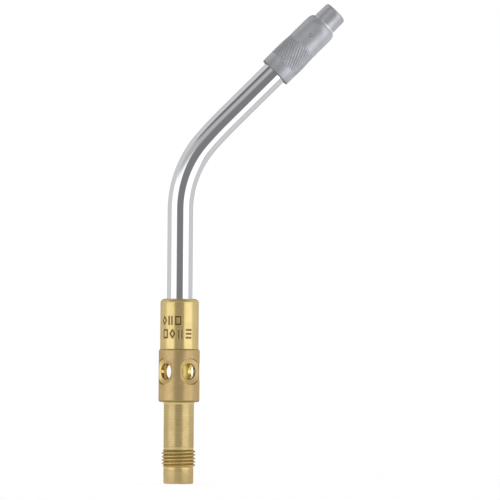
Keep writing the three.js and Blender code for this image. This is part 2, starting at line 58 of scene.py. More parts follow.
def reach(node, origin, axis):
    """Lowest and highest distance of a CAD node along an axis, and its radius about it, in mm."""
    points = np.array([vertex.co for vertex in frame["nodes"][node].data.vertices])
    offsets = (points - np.array(origin)) / MM
    along = offsets @ np.array(axis)
    across = np.linalg.norm(offsets - np.outer(along, np.array(axis)), axis=1)
    return along.min(), along.max(), across.max()


JOINTS = {joint["name"]: joint for joint in frame["record"]["behaviour"]["joints"]}
UP = Vector((0, 0, 1))
ORIGIN = Vector((0, 0, 0))
TIP_AXIS = Vector(JOINTS["sleeve_turn"]["axis"]).normalized()
HINGE = Vector(JOINTS["sleeve_turn"]["pos_m"])
NECK_CORNER = HINGE - TIP_AXIS * (HINGE.x / TIP_AXIS.x)
NECK_ANGLE = math.atan2(TIP_AXIS.x, TIP_AXIS.z)

_, STEM_TOP, THREAD_CREST = reach("inlet_stem", ORIGIN, UP)
BARREL_LOW, BARREL_SPIGOT_TOP, BARREL_RADIUS = reach("mixer_barrel", ORIGIN, UP)
FERRULE_LOW, FERRULE_TOP, FERRULE_RADIUS = reach("neck_ferrule", ORIGIN, UP)
SLEEVE_REAR, SLEEVE_FRONT, SLEEVE_RADIUS = reach("knurled_sleeve", NECK_CORNER, TIP_AXIS)
FLAME_REAR, FLAME_FRONT, FLAME_FLANGE_RADIUS = reach("flame_tube", NECK_CORNER, TIP_AXIS)
ROTOR_REAR, ROTOR_FRONT, ROTOR_RADIUS = reach("swirl_rotor", NECK_CORNER, TIP_AXIS)
NIPPLE_REAR, NIPPLE_FRONT, NIPPLE_RADIUS = reach("tip_nipple", NECK_CORNER, TIP_AXIS)
JET_LOW, JET_TIP, _ = reach("gas_jet", ORIGIN, UP)
VENTURI_LOW, VENTURI_TOP, VENTURI_RADIUS = reach("venturi_insert", ORIGIN, UP)
FILTER_LOW, FILTER_TOP, FILTER_RADIUS = reach("inlet_filter", ORIGIN, UP)


# ---- sizes in mm -------------------------
# Heights of the tip's pieces run along its axis from NECK_CORNER. Turns of ports and marks are
# in degrees from the front, -Y, towards +X.

NOSE_RADIUS = 5.62
STEM_RADIUS = 5.65
BARREL_BOTTOM = BARREL_LOW + 0.2
STEM_SHOULDER = BARREL_BOTTOM - 0.04
SPIGOT_RADIUS = 4.6
THREAD_START = 6.25
THREAD_END = 12.85
THREAD_PITCH = 1.27
THREAD_ROOT = 5.52
THREAD_RUN_OUT = 0.62
INLET_BORE = 3.3
INLET_BORE_TOP = 22.0
CLIP_GROOVE_RADIUS = 3.9
CLIP_GROOVE_LOW = 12.5
CLIP_GROOVE_HIGH = 13.8
FILTER_WALL = 0.8
GAS_WAY = 1.6
GAS_WAY_LOW = 23.0
JET_SOCKET = 2.9
JET_SOCKET_FLOOR = 27.0
JET_ORIFICE = 0.3
JET_SHANK = 2.6
JET_HEXAGON_FLATS = 6.0
JET_HEXAGON_HEIGHT = 2.1

BARREL_BORE = 4.9
BARREL_SPIGOT = 5.9
BARREL_SEAM = FERRULE_LOW + 0.2
CHAMBER_RADIUS = 5.7
CHAMBER_LOW = 36.9
CHAMBER_HIGH = 46.9
PORT_RADIUS = 3.05
PORT_HEIGHT = 42.15
PORT_TURNS = [37.5, 114, 204, 309]
SINK_RADIUS = 4.9
SINK_FLOOR = 6.15
SINK_SLOPE = 3.5
VENTURI_THROAT = 2.4

FERRULE_BORE = 4.86
FERRULE_SOCKET = 6.05
FERRULE_SOCKET_TOP = 56.9
FERRULE_FILLET = 1.6

TUBE_RADIUS = 4.765
TUBE_BORE = 3.55
TUBE_LOW = 57.2
TUBE_END = 60.0
FIRST_BEND_RADIUS = 39.5
FIRST_BEND_ANGLE = math.radians(40.5)
SECOND_BEND_RADIUS = 160.0

NIPPLE_BORE = 2.5
NIPPLE_SPIGOT = 3.4
NIPPLE_SHOULDER = 60.8
NIPPLE_THREAD_LOW = 61.5
NIPPLE_PITCH = 1.058

KNURL_START = 54.2
KNURL_END = 65.0
KNURL_STARTS = 36
KNURL_LEAD = 2.25
KNURL_DEPTH = 0.2
SLEEVE_BORE = 5.45
SLEEVE_LIP = 4.86
SLEEVE_NOSE = SLEEVE_FRONT + 0.4
SLEEVE_NOSE_LENGTH = 3.1
SLEEVE_REAR_RADIUS = 6.28
SLEEVE_FRONT_RADIUS = 6.1
SNAP_GROOVE_RADIUS = 5.85
SNAP_GROOVE_LOW = 67.4
SNAP_GROOVE_HIGH = 68.5
SLEEVE_SEAT = 70.4
FLANGE_FRONT = 70.1
FLAME_RADIUS = 4.72
FLAME_FRONT_RADIUS = 4.62
FLAME_BORE = 3.7
FLAME_REAR_BORE = 2.7
ROTOR_HUB = 1.4
ROTOR_VANES = 5
ROTOR_TWIST = math.radians(75)


# ---- mesh helpers ------------------------

SHARP_EDGE = math.radians(35)
WALL_SUPPORT = 0.06


def along_z(points):
    """Points in mm about the body's upright axis, in metres."""
    return points * MM


def along_tip(points):
    """Points in mm about the slanted tip axis, in metres."""
    turn = Matrix.Rotation(NECK_ANGLE, 3, "Y")
    return points * MM @ np.array(turn).T + np.array(NECK_CORNER)


def filleted(corners, steps=5, closed=True):
    """Profile points from (radius, height, fillet) corners, with each fillet as an arc."""
    points = []
    for i, (radius, height, fillet) in enumerate(corners):
        here = complex(radius, height)
        at_end = not closed and i in (0, len(corners) - 1)
        if fillet <= 0 or at_end:
            points.append(here)
            continue
        back = complex(*corners[i - 1][:2]) - here
        ahead = complex(*corners[(i + 1) % len(corners)][:2]) - here
        back /= abs(back)
        ahead /= abs(ahead)
        if abs(back + ahead) < 1e-6:
            points.append(here)
            continue
        bisector = (back + ahead) / abs(back + ahead)
        half = abs(np.angle(ahead / back)) / 2
        centre = here + bisector * fillet / math.sin(half)
        first = here + back * fillet / math.tan(half) - centre
        last = here + ahead * fillet / math.tan(half) - centre
        sweep = np.angle(last / first)
        points += [centre + first * np.exp(1j * sweep * k / steps) for k in range(steps + 1)]
    return supported(points, closed)


def supported(points, closed):
    """Adds a point close to each end of every long straight stretch, so that walls shade flat."""
    result = []
    count = len(points) if closed else len(points) - 1
    for i in range(count):
        start, end = points[i], points[(i + 1) % len(points)]
        result.append(start)
        length = abs(end - start)
        if length > 6 * WALL_SUPPORT:
            step = (end - start) / length * WALL_SUPPORT
            result += [start + step, end - step]
    if not closed:
        result.append(points[-1])
    return [(point.real, point.imag) for point in result]


def quads(rings, count, closed=False):
    """Faces between neighbouring rings of `count` points, which are numbered ring by ring."""
    faces = []
    for ring in range(rings if closed else rings - 1):
        here, above = ring * count, (ring + 1) % rings * count
        for i in range(count):
            j = (i + 1) % count
            faces.append((here + i, here + j, above + j, above + i))
    return faces


def new_piece(name, points, faces, grooves):
    """
    A mesh object, shaded smooth but for its sharp edges. `grooves` holds a number for each
    point: above 0 for dirt, dark joints and painted shade, below 0 for fresh or worn metal and painted
    highlights.
    """
    mesh = bpy.data.meshes.new(name)
    mesh.from_pydata(points.tolist(), [], faces)
    mesh.polygons.foreach_set("use_smooth", [True] * len(mesh.polygons))
    mesh.set_sharp_from_angle(angle=SHARP_EDGE)
    layer = mesh.attributes.new("groove", "FLOAT", "POINT")
    layer.data.foreach_set("value", np.asarray(grooves, dtype=np.float32))
    mesh.update()
    piece = bpy.data.objects.new(name, mesh)
    bpy.context.scene.collection.objects.link(piece)
    return piece


def revolve(name, profile, place=along_z, segments=128, dent=None):
    """
    Turns a profile of (radius, height) points, anticlockwise, about the axis of `place`. A
    profile that starts and ends on the axis closes there. `dent` takes angles, radii and
    heights and returns how far each point is sunk, and a mask that the material can read.
    """
    profile = np.array(profile)
    on_axis = profile[0, 0] < 1e-9
    walls = profile[1:-1] if on_axis else profile
    angles = np.arange(segments) * TAU / segments
    radii = np.repeat(walls[:, :1], segments, axis=1)
    heights = np.repeat(walls[:, 1:], segments, axis=1)
    grooves = np.zeros_like(radii)
    if dent:
        sunk, grooves = dent(angles[None, :], radii, heights)
        radii = radii - sunk
    points = np.stack([radii * np.cos(angles), radii * np.sin(angles), heights], axis=2)
    points = points.reshape(-1, 3)
    rows = len(walls)
    faces = quads(rows, segments, closed=not on_axis)
    grooves = grooves.ravel()
    if on_axis:
        low_pole = len(points)
        high_pole = low_pole + 1
        points = np.vstack([points, [0, 0, profile[0, 1]], [0, 0, profile[-1, 1]]])
        grooves = np.append(grooves, [0, 0])
        top = (rows - 1) * segments
        for i in range(segments):
            j = (i + 1) % segments
            faces.append((low_pole, j, i))
            faces.append((high_pole, top + i, top + j))
    return new_piece(name, place(points), faces, grooves)


def rows_between(low, high, step, radius):
    """Closely spaced profile points up a straight wall, where a dent needs them."""
    count = round((high - low) / step) + 1
    return [(radius, height) for height in np.linspace(low, high, count)]


def finish_piece(piece, material, body, slot, *nodes):
    """Gives a piece its material and its body, and hides the CAD nodes that it stands for; `slot` is not
    used.
    """
    piece.data.materials.append(material)
    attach(piece, body)
    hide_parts(*nodes)


def smoothstep(low, high, value):
    """0 at `low`, 1 at `high` and an even blend between them; `low` may be the larger."""
    part = np.clip((value - low) / (high - low), 0, 1)
    return part * part * (3 - 2 * part)


# ---- materials ---------------------------

class Nodes:
    """A short way to write a node tree."""

    def __init__(self, tree):
        self.tree = tree

    def add(self, kind, inputs=None, **settings):
        node = self.tree.nodes.new(kind)
        for key, value in settings.items():
            setattr(node, key, value)
        for key, value in (inputs or {}).items():
            self.set(node.inputs[key], value)
        return node

    def set(self, socket, value):
        if isinstance(value, bpy.types.NodeSocket):
            self.tree.links.new(value, socket)
        else:
            socket.default_value = value

    def math(self, operation, first, second=0.0):
        return self.add("ShaderNodeMath", {0: first, 1: second}, operation=operation).outputs[0]


class Material(Nodes):
    """A Principled material, and the textures that the metals share."""

    def __init__(self, name):
        self.material = bpy.data.materials.new(name)
        self.material.use_nodes = True
        super().__init__(self.material.node_tree)
        self.shader = self.tree.nodes["Principled BSDF"]

    def coordinates(self, scale, tilted=False):
        """Object coordinates in mm times `scale`; `tilted` turns them to the tip axis."""
        place = self.add("ShaderNodeTexCoord").outputs["Object"]
        if tilted:
            turn = self.add("ShaderNodeMapping", {"Rotation": (0, -NECK_ANGLE, 0)})
            self.set(turn.inputs["Vector"], place)
            place = turn.outputs["Vector"]
        stretch = self.add("ShaderNodeMapping", {"Scale": [value / MM for value in scale]})
        self.set(stretch.inputs["Vector"], place)
        return stretch.outputs["Vector"]

    def noise(self, scale, detail=3.0, roughness=0.55, tilted=False):
        vector = self.coordinates(scale, tilted)
        inputs = {"Vector": vector, "Scale": 1.0, "Detail": detail, "Roughness": roughness}
        return self.add("ShaderNodeTexNoise", inputs).outputs["Fac"]

    def spread(self, value, from_low, from_high, to_low, to_high):
        inputs = {
            "Value": value,
            "From Min": from_low,
            "From Max": from_high,
            "To Min": to_low,
            "To Max": to_high,
        }
        return self.add("ShaderNodeMapRange", inputs).outputs["Result"]

    def mix(self, factor, first, second, blend="MIX"):
        node = self.add("ShaderNodeMix", data_type="RGBA", blend_type=blend)
        self.set(node.inputs[0], factor)
        for socket, value in zip((node.inputs[6], node.inputs[7]), (first, second)):
            self.set(socket, value if isinstance(value, bpy.types.NodeSocket) else (*value, 1.0))
        return node.outputs[2]

    def groove(self, share):
        """How much darker the mesh's mask makes the colour: dirt in grooves, marks and seams, and painted
        shade.
        """
        mask = self.add("ShaderNodeAttribute", attribute_name="groove").outputs["Fac"]
        return self.spread(mask, 0.0, 1.0, 0.0, share)

    def fresh_and_highlight(self, share=1.0):
        """How bright fresh cuts, worn edges and painted highlights are, from the negative part of the same
        mask.
        """
        mask = self.add("ShaderNodeAttribute", attribute_name="groove").outputs["Fac"]
        return self.spread(mask, 0.0, -1.0, 0.0, share)

    def bump(self, height, strength, distance):
        inputs = {"Height": height, "Strength": strength, "Distance": distance * MM}
        return self.add("ShaderNodeBump", inputs).outputs["Normal"]

    def metal(self, colour, roughness, normal=None, metallic=1.0, edge=(1.0, 1.0, 1.0)):
        self.shader.inputs["Specular Tint"].default_value = (*edge, 1.0)
        self.set(self.shader.inputs["Metallic"], metallic)
        self.set(self.shader.inputs["Base Color"], colour)
        self.set(self.shader.inputs["Roughness"], roughness)
        if normal is not None:
            self.set(self.shader.inputs["Normal"], normal)
        return self.material


WARM_EDGE = (0.8, 0.6, 0.38)
BRASS_DIRT = (0.17, 0.1, 0.03)
HIGHLIGHT_BRASS = (1.0, 0.86, 0.36)


def turned_brass(name, light, dark, rough, mark_strength, darkening, metallic):
    """Brass turned on a lathe: fine rings round the axis, toned patches, dirty grooves and painted
    highlights where the mask is below 0.
    """
    nodes = Material(name)
    patches = nodes.noise((0.12, 0.12, 0.16), detail=4.0)
    rings = nodes.noise((0.05, 0.05, 7.0), detail=4.0, roughness=0.7)
    scuffs = nodes.noise((0.5, 0.5, 3.2), detail=5.0, roughness=0.75)
    tone = nodes.mix(nodes.spread(patches, 0.35, 0.68, 0.0, 1.0), light, dark)
    ring_tone = dict.fromkeys(("Red", "Green", "Blue"), nodes.spread(rings, 0.3, 0.7, 0.97, 1.03))
    ring_grey = nodes.add("ShaderNodeCombineColor", ring_tone).outputs["Color"]
    tone = nodes.mix(1.0, tone, ring_grey, "MULTIPLY")
    scratch = nodes.spread(scuffs, 0.62, 0.72, 0.0, 0.5)
    tone = nodes.mix(scratch, tone, [0.45 * value for value in dark])
    tone = nodes.mix(nodes.groove(darkening), tone, BRASS_DIRT)
    # Painted highlight where the mask is below 0.
    tone = nodes.mix(nodes.fresh_and_highlight(), tone, HIGHLIGHT_BRASS)
    roughness = nodes.spread(nodes.math("ADD", rings, patches), 0.7, 1.3, rough - 0.05, rough + 0.07)
    return nodes.metal(tone, roughness, nodes.bump(rings, mark_strength, 0.03), metallic, WARM_EDGE)


def satin_brass(name):
    """Brass left satin and slightly tarnished: mottled, with fine cross-grain, a dark seam, painted shade
    at the port rims and under the barrel, fresh-cut ports and a painted highlight on each port's cone.
    """
    light, dark, grain_tone = (0.84, 0.62, 0.285), (0.66, 0.47, 0.215), (0.55, 0.4, 0.18)
    dirt_and_shade_tone, fresh_and_highlight_tone = (0.2, 0.13, 0.04), (1.0, 0.8, 0.3)
    nodes = Material(name)
    patches = nodes.noise((0.22, 0.22, 0.14), detail=5.0, roughness=0.6)
    grain = nodes.noise((2.0, 2.0, 8.0), detail=4.0, roughness=0.7)
    tone = nodes.mix(nodes.spread(patches, 0.32, 0.7, 0.0, 1.0), light, dark)
    tone = nodes.mix(nodes.spread(grain, 0.35, 0.7, 0.0, 0.25), tone, grain_tone)
    # Darker in the seam for a dark joint, and painted shade at the port rims and under the barrel.
    tone = nodes.mix(nodes.groove(0.7), tone, dirt_and_shade_tone)
    # Fresh-cut metal in the ports and chamber, and a painted highlight on the left of each port's cone.
    tone = nodes.mix(nodes.fresh_and_highlight(), tone, fresh_and_highlight_tone)
    roughness = nodes.spread(nodes.math("ADD", grain, patches), 0.7, 1.3, 0.28, 0.4)
    roughness = nodes.math("MULTIPLY", roughness, nodes.spread(nodes.fresh_and_highlight(), 0.0, 1.0, 1.0, 0.45))
    metallic = nodes.math("ADD", nodes.fresh_and_highlight(0.4), 0.55)
    return nodes.metal(tone, roughness, nodes.bump(grain, 0.25, 0.02), metallic, WARM_EDGE)


def polished_steel(name):
    """Mirror-polished tube with faint polishing lines along it and a slow waviness."""
    nodes = Material(name)
    waves = nodes.noise((0.1, 0.1, 0.06), detail=1.5)
    lines = nodes.noise((5.0, 5.0, 0.3), detail=3.0)
    tone = nodes.mix(nodes.spread(lines, 0.3, 0.7, 0.0, 1.0), (0.98, 0.985, 0.995), (0.93, 0.935, 0.95))
    roughness = nodes.spread(lines, 0.3, 0.7, 0.05, 0.1)
    return nodes.metal(tone, roughness, nodes.bump(waves, 0.06, 0.25))


def matt_steel(name, light, dark, rough):
    """Fine bead-blasted steel with a soft cloudiness, dirt in the knurling, painted shade at the sleeve's
    rear edge and a darker inside of its front lip.
    """
    nodes = Material(name)
    clouds = nodes.noise((0.25, 0.25, 0.25), detail=5.0, roughness=0.6, tilted=True)
    beads = nodes.noise((9.0, 9.0, 9.0), detail=2.0, tilted=True)
    tone = nodes.mix(nodes.spread(clouds, 0.33, 0.68, 0.0, 1.0), light, dark)
    tone = nodes.mix(nodes.spread(beads, 0.3, 0.75, 0.0, 0.3), tone, [0.75 * value for value in dark])
    # Darker in the knurling and the size mark for dirt, at the rear edge for painted shade, and inside the
    # front lip.
    tone = nodes.mix(nodes.groove(0.8), tone, [0.25 * value for value in dark])
    tone = nodes.mix(nodes.fresh_and_highlight(), tone, (1.0, 1.0, 1.0))
    roughness = nodes.spread(nodes.math("ADD", clouds, beads), 0.7, 1.3, rough - 0.05, rough + 0.08)
    return nodes.metal(tone, roughness, nodes.bump(beads, 0.22, 0.02), 0.45)


def granular_bronze(name):
    """Sintered bronze: packed grains with dark pores between them."""
    nodes = Material(name)
    place = nodes.coordinates((5.0, 5.0, 5.0))
    grains = nodes.add("ShaderNodeTexVoronoi", {"Vector": place, "Scale": 1.0}).outputs["Distance"]
    tone = nodes.mix(nodes.spread(grains, 0.1, 0.7, 0.0, 1.0), (0.62, 0.4, 0.22), (0.12, 0.07, 0.04))
    roughness = nodes.spread(grains, 0.0, 0.8, 0.45, 0.8)
    return nodes.metal(tone, roughness, nodes.bump(nodes.math("SUBTRACT", 1.0, grains), 0.6, 0.12))


def plain_metal(name, light, dark, rough):
    """A small turned or drawn piece: two tones in streaks, and a fine grain."""
    nodes = Material(name)
    streaks = nodes.noise((0.9, 0.9, 4.0), detail=4.0)
    grain = nodes.noise((7.0, 7.0, 7.0), detail=2.0)
    tone = nodes.mix(nodes.spread(streaks, 0.32, 0.7, 0.0, 1.0), light, dark)
    roughness = nodes.spread(grain, 0.3, 0.7, rough - 0.05, rough + 0.08)
    return nodes.metal(tone, roughness, nodes.bump(grain, 0.2, 0.02))


BRIGHT_BRASS = turned_brass(
    "ferrule_brass", (1.0, 0.79, 0.355), (0.9, 0.66, 0.27),
    rough=0.2, mark_strength=0.1, darkening=0.9, metallic=0.64,
)
STEM_BRASS = turned_brass(
    "stem_brass", (0.83, 0.64, 0.295), (0.68, 0.5, 0.235),
    rough=0.27, mark_strength=0.08, darkening=0.55, metallic=0.58,
)
SATIN_BRASS = satin_brass("mixer_brass")
CHROME = polished_steel("neck_chrome")
MATT_STEEL = matt_steel("sleeve_steel", (0.74, 0.75, 0.78), (0.62, 0.63, 0.66), 0.36)
FLAME_STEEL = matt_steel("flame_tube_steel", (0.74, 0.75, 0.78), (0.6, 0.61, 0.64), 0.28)
BRONZE = granular_bronze("filter_bronze")
JET_BRASS = plain_metal("jet_brass", (0.9, 0.7, 0.34), (0.78, 0.56, 0.25), 0.25)
COPPER = plain_metal("seal_copper", (0.86, 0.47, 0.3), (0.66, 0.32, 0.19), 0.3)
BRAZE = plain_metal("braze_silver", (0.82, 0.79, 0.7), (0.62, 0.57, 0.46), 0.35)
SPRING = plain_metal("spring_steel", (0.36, 0.37, 0.4), (0.22, 0.22, 0.24), 0.3)


# ---- inlet stem --------------------------

def thread_dent(angles, radii, heights):
    """
    Sinks the thread's V groove into the wall between its ends, which taper to the root. Paints
    highlights on the stem beside the thread and under the barrel.
    """
    inside = (heights > THREAD_START) & (heights < THREAD_END) & (radii > THREAD_ROOT + 0.3)
    phase = (heights / THREAD_PITCH - angles / TAU) % 1.0
    flank = np.clip(1.18 - 2.5 * np.abs(phase - 0.5), 0, 1)
    ridge = 0.35 * smoothstep(0.02, 0.98, flank) + 0.65 * flank
    taper = np.clip(np.minimum(heights - THREAD_START, THREAD_END - heights) / THREAD_RUN_OUT, 0, 1)
    depth = THREAD_CREST - THREAD_ROOT
    height = np.minimum(ridge, taper) * depth
    sunk = np.where(inside, radii - THREAD_ROOT - height, 0.0)
    groove = np.where(inside, 1.2 * (1.0 - height / depth) - 0.5, 0.0)
    beside = np.maximum(THREAD_START - heights, heights - THREAD_END)
    outside = (radii > THREAD_ROOT) & (beside > 0)
    # Painted highlights beside the thread and on the stem's top just under the barrel.
    fresh_and_highlight = smoothstep(0.0, 0.1, beside) * smoothstep(0.95, 0.5, beside)
    top = smoothstep(STEM_SHOULDER - 1.1, STEM_SHOULDER - 0.6, heights) * (heights < STEM_SHOULDER + 0.01)
    return sunk, np.where(outside, groove - 0.7 * np.maximum(fresh_and_highlight, top), groove)


def inlet_stem():
    outer = filleted([
        (INLET_BORE, 0.0, 0.15),
        (NOSE_RADIUS, 0.0, 0.55),
        (NOSE_RADIUS, THREAD_START - 1.0, 0.0),
        (NOSE_RADIUS - 0.02, THREAD_START - 0.9, 0.0),
        (NOSE_RADIUS - 0.03, THREAD_START - 0.6, 0.0),
        (NOSE_RADIUS - 0.05, THREAD_START - 0.3, 0.1),
        (THREAD_ROOT + 0.02, THREAD_START - 0.1, 0.0),
    ], closed=False)
    threads = rows_between(THREAD_START + 0.01, THREAD_END - 0.01, 0.06, THREAD_CREST)
    upper = filleted([
        (THREAD_ROOT + 0.02, THREAD_END + 0.1, 0.0),
        (STEM_RADIUS - 0.06, THREAD_END + 0.3, 0.1),
        (STEM_RADIUS - 0.04, THREAD_END + 0.6, 0.0),
        (STEM_RADIUS - 0.01, THREAD_END + 0.9, 0.0),
        (STEM_RADIUS, THREAD_END + 1.0, 0.0),
        (STEM_RADIUS, STEM_SHOULDER - 0.75, 0.7),
        (STEM_RADIUS + 0.3, STEM_SHOULDER, 0.1),
        (SPIGOT_RADIUS, STEM_SHOULDER, 0.1),
        (SPIGOT_RADIUS, STEM_TOP, 0.2),
        (JET_SOCKET, STEM_TOP, 0.1),
        (JET_SOCKET, JET_SOCKET_FLOOR, 0.1),
        (GAS_WAY, JET_SOCKET_FLOOR, 0.1),
        (GAS_WAY, GAS_WAY_LOW, 0.2),
        (INLET_BORE, INLET_BORE_TOP, 0.2),
        (INLET_BORE, CLIP_GROOVE_HIGH, 0.05),
        (CLIP_GROOVE_RADIUS, CLIP_GROOVE_HIGH, 0.05),
        (CLIP_GROOVE_RADIUS, CLIP_GROOVE_LOW, 0.05),
        (INLET_BORE, CLIP_GROOVE_LOW, 0.05),
        (INLET_BORE, 0.35, 0.1),
    ], closed=False)
    piece = revolve("stem_with_thread", outer + threads + upper, segments=224, dent=thread_dent)
    finish_piece(piece, STEM_BRASS, "torch_body", "bright_brass", "inlet_stem")


def ring_section(inner, outer, low, high, fillet, steps):
    """A rectangle with rounded corners, as a profile."""
    corners = [(inner, low), (outer, low), (outer, high), (inner, high)]
    return filleted([(*corner, fillet) for corner in corners], steps)


def c_clip(name, node, inner, opening, place=along_z, origin=ORIGIN, axis=UP):
    """A spring ring in place of a CAD node, open over `opening` radians, with eyes at its ends."""
    low, high, outer = reach(node, origin, axis)
    section = np.array(ring_section(inner, outer, low, high, 0.08, steps=3))
    angles = np.linspace(opening / 2, TAU - opening / 2, 97)
    swell = np.exp(-((np.minimum(angles, TAU - angles) - opening / 2) / 0.16) ** 2) * 0.35
    middle = (inner + outer) / 2
    points = []
    for angle, grow in zip(angles, swell):
        inward = np.where(section[:, 0] < middle, grow, 0.0)
        radii = section[:, 0] - inward
        points += [(r * math.cos(angle), r * math.sin(angle), h) for r, h in zip(radii, section[:, 1])]
    count = len(section)
    faces = [(a, d, c, b) for a, b, c, d in quads(len(angles), count)]
    faces.append(tuple(range(count)))
    faces.append(tuple(reversed(range(len(points) - count, len(points)))))
    return new_piece(name, place(np.array(points)), faces, np.zeros(len(points)))


def filter_clip():
    clip = c_clip("filter_circlip", "filter_clip", inner=2.6, opening=0.5)
    finish_piece(clip, SPRING, "torch_body", "spring_steel", "filter_clip")


def inlet_filter():
    inside = FILTER_RADIUS - FILTER_WALL
    roof = FILTER_TOP - FILTER_WALL
    thimble = revolve("filter_thimble", filleted([
        (0.0, roof, 0.0),
        (inside, roof, 0.6),
        (inside, FILTER_LOW, 0.2),
        (FILTER_RADIUS, FILTER_LOW, 0.2),
        (FILTER_RADIUS, FILTER_TOP, 1.0),
        (0.0, FILTER_TOP, 0.0),
    ], closed=False), segments=64)
    finish_piece(thimble, BRONZE, "torch_body", "sintered_bronze", "inlet_filter")


def washer(name, node, material, slot, inner, crown=0.1, place=along_z, origin=ORIGIN, axis=UP):
    """A washer or braze ring with rounded edges, where its CAD node is."""
    low, high, outer = reach(node, origin, axis)
    piece = revolve(name, ring_section(inner, outer, low, high, crown, steps=4), place, segments=72)
    finish_piece(piece, material, "torch_body", slot, node)


def hexagon_dent(across):
    """Sinks a round wall to the flats of a hexagon, `across` mm over its flats."""
    def dent(angles, radii, _heights):
        sector = (angles + math.pi / 6) % (math.pi / 3) - math.pi / 6
        flat = across / 2 / np.cos(sector)
        inside = radii > across / 2 + 0.05
        return np.where(inside, np.maximum(radii - flat, 0.0), 0.0), np.zeros_like(radii)
    return dent


def gas_jet():
    hex_low = STEM_TOP + 0.05
    hex_top = hex_low + JET_HEXAGON_HEIGHT
    corner = JET_HEXAGON_FLATS / 2 + 0.45
    piece = revolve("jet_with_orifice", filleted([
        (JET_ORIFICE, JET_LOW, 0.0),
        (GAS_WAY, JET_LOW, 0.05),
        (JET_SHANK, JET_LOW, 0.2),
        (JET_SHANK, hex_low, 0.05),
        (corner - 0.45, hex_low, 0.1),
        (corner, hex_low + 0.3, 0.1),
        (corner, hex_top - 0.3, 0.1),
        (corner - 0.5, hex_top, 0.1),
        (2.1, hex_top + 0.2, 0.2),
        (1.0, JET_TIP - 0.1, 0.25),
        (JET_ORIFICE, JET_TIP, 0.08),
    ]), segments=96, dent=hexagon_dent(JET_HEXAGON_FLATS))
    finish_piece(piece, JET_BRASS, "torch_body", "bright_brass", "gas_jet")


# ---- mixer barrel ------------------------

PORT_POINTS = 96
OUTER_CELL = 6.6
INNER_CELL = 4.6
NARROWING = 0.17
LIP = 0.14
SINK_WALL_SLOPE = 40
CHAMBER_SHINE = -0.6
DRILLED_SHINE = -0.9


def soft_min(first, second, width):
    """The lower of two values, rounded over where they cross."""
    blend = np.clip(0.5 + (second - first) / (2 * width), 0, 1)
    return second + (first - second) * blend - width * blend * (1 - blend)


def port_cell(turn, left, right, radius, rings, sink):
    """
    Rings of points round one port, from the drilled edge to its four-sided cell on a cylinder.
    `turn`, `left` and `right` are angles about Z in radians. Gives rings x points x 3.
    """
    tall = OUTER_CELL if sink else INNER_CELL
    corners = 4 * np.arange(PORT_POINTS) / PORT_POINTS
    side = (corners + 0.5) % 4
    edge_turn = np.interp(side, range(5), [left, left, right, right, left])
    edge_height = PORT_HEIGHT + tall * np.interp(side, range(5), [-1, 1, 1, -1, -1])
    around = corners * TAU / 4
    result = []
    outer_ring = SINK_RADIUS + 0.8 if sink else PORT_RADIUS + 0.3
    narrowing = NARROWING if sink else 0.0
    for step in np.linspace(0, 1, rings):
        distance = PORT_RADIUS + (outer_ring - PORT_RADIUS) * step
        across = distance * np.cos(around) * (1 - narrowing * step)
        rise = distance * np.sin(around)
        depth = np.sqrt(radius**2 - across**2)
        if sink:
            reached = np.hypot(across, rise)
            cone = SINK_FLOOR + (reached - PORT_RADIUS) / SINK_SLOPE
            wall = cone + SINK_WALL_SLOPE * np.maximum(0.0, reached - SINK_RADIUS)
            depth = soft_min(wall, depth, LIP)
        result.append(radial_points(turn, across, depth, PORT_HEIGHT + rise))
    circle_turn = turn + np.arcsin(across / radius)
    circle_height = PORT_HEIGHT + outer_ring * np.sin(around)
    for step in np.linspace(0, 1, 6)[1:]:
        angle = circle_turn + (edge_turn - circle_turn) * step
        height = circle_height + (edge_height - circle_height) * step
        result.append(np.stack([radius * np.cos(angle), radius * np.sin(angle), height], axis=1))
    return np.array(result)


def rim_mask(turn, rings):
    """Painted shade along the outer rim and the drilled edge of a countersink, and a painted highlight on
    the left of its cone, which is a little fresh all over.
    """
    across = rings[..., 1] * math.cos(turn) - rings[..., 0] * math.sin(turn)
    depth = rings[..., 0] * math.cos(turn) + rings[..., 1] * math.sin(turn)
    reached = np.hypot(across, rings[..., 2] - PORT_HEIGHT)
    surface = np.sqrt(np.maximum(BARREL_RADIUS**2 - across**2, 0))
    cone = SINK_FLOOR + (reached - PORT_RADIUS) / SINK_SLOPE
    below = (surface - depth > 0.03) & (reached < SINK_RADIUS + 0.3)
    # Painted shade: dark lines along the outer rim and the drilled edge.
    rim_shade = smoothstep(0.3, 0.05, surface - depth) + smoothstep(SINK_RADIUS - 0.25, SINK_RADIUS, reached)
    edge = smoothstep(PORT_RADIUS + 0.25, PORT_RADIUS + 0.1, reached)
    # Painted highlight on the left side of the cone, over a little fresh metal on all of it.
    painted_highlight = smoothstep(0.1, 0.9, -across / reached)
    fresh_and_highlight = -(0.1 + 0.6 * painted_highlight) * smoothstep(0.4, 0.15, np.abs(depth - cone))
    return np.where(below, np.where(rim_shade + edge > 0.3, 0.5 * np.clip(rim_shade + edge, 0, 1), fresh_and_highlight), 0.0)


def radial_points(turn, across, depth, height):
    """Points `depth` out along the direction `turn` about Z and `across` to its left."""
    x = depth * math.cos(turn) - across * math.sin(turn)
    y = depth * math.sin(turn) + across * math.cos(turn)
    return np.stack([x, y, np.broadcast_to(height, x.shape)], axis=1)


